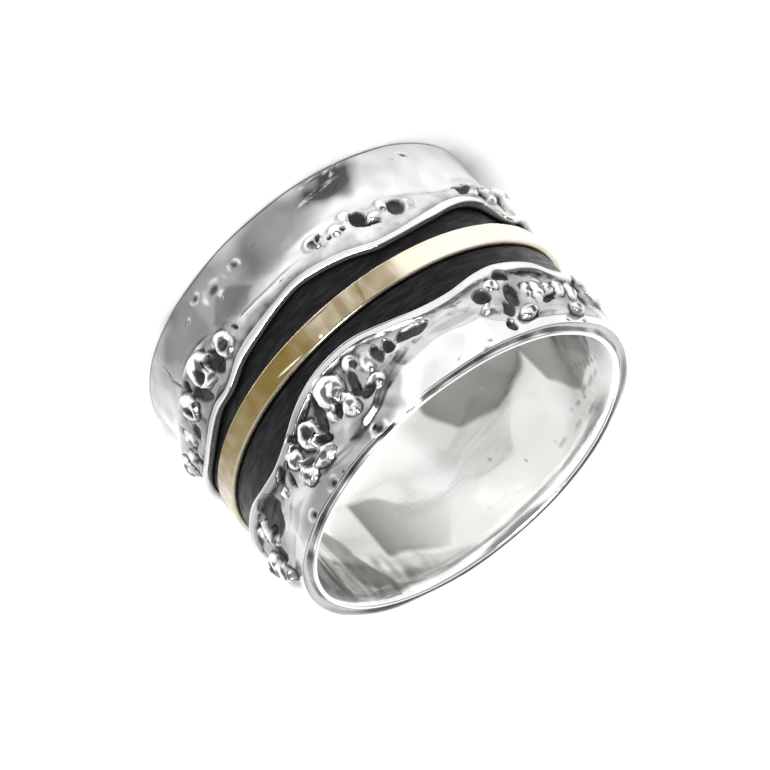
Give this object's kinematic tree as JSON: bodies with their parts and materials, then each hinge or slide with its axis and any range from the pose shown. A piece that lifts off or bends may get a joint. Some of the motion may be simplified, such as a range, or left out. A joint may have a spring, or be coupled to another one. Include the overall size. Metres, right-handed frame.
{
  "type": "spinner ring",
  "caption": "Wide handmade silver ring with wavy granulated borders and a narrow hammered gold band that spins in a blackened channel.",
  "frame": {"origin": "bottom centre: on the axis of the finger hole, in the plane of the back rim that the ring lies on", "axes": "+Z along the finger hole, from the back rim to the front rim; -Y towards the side that the picture shows, +X to its left and below"},
  "size_m": [0.0214, 0.0212, 0.0135],
  "materials": {
    "sleeve_silver": "polished silver, softly hammered",
    "dark_silver": "blackened silver, satin with fine scratches",
    "border_silver": "polished hand-worked silver with dark crevices",
    "gold": "pale yellow gold, lightly planished and polished"
  },
  "bodies": {
    "ring": {"sleeve": "sleeve_silver", "dark_belt": "dark_silver", "back_border": "border_silver", "front_border": "border_silver"},
    "spinner": {"spinner_band": "gold"}
  },
  "joints": [
    {"name": "spinner_spin", "type": "hinge", "parent": "ring", "child": "spinner", "pos_m": [0, 0, 0.00715], "axis": [0, 0, 1], "continuous": true}
  ]
}
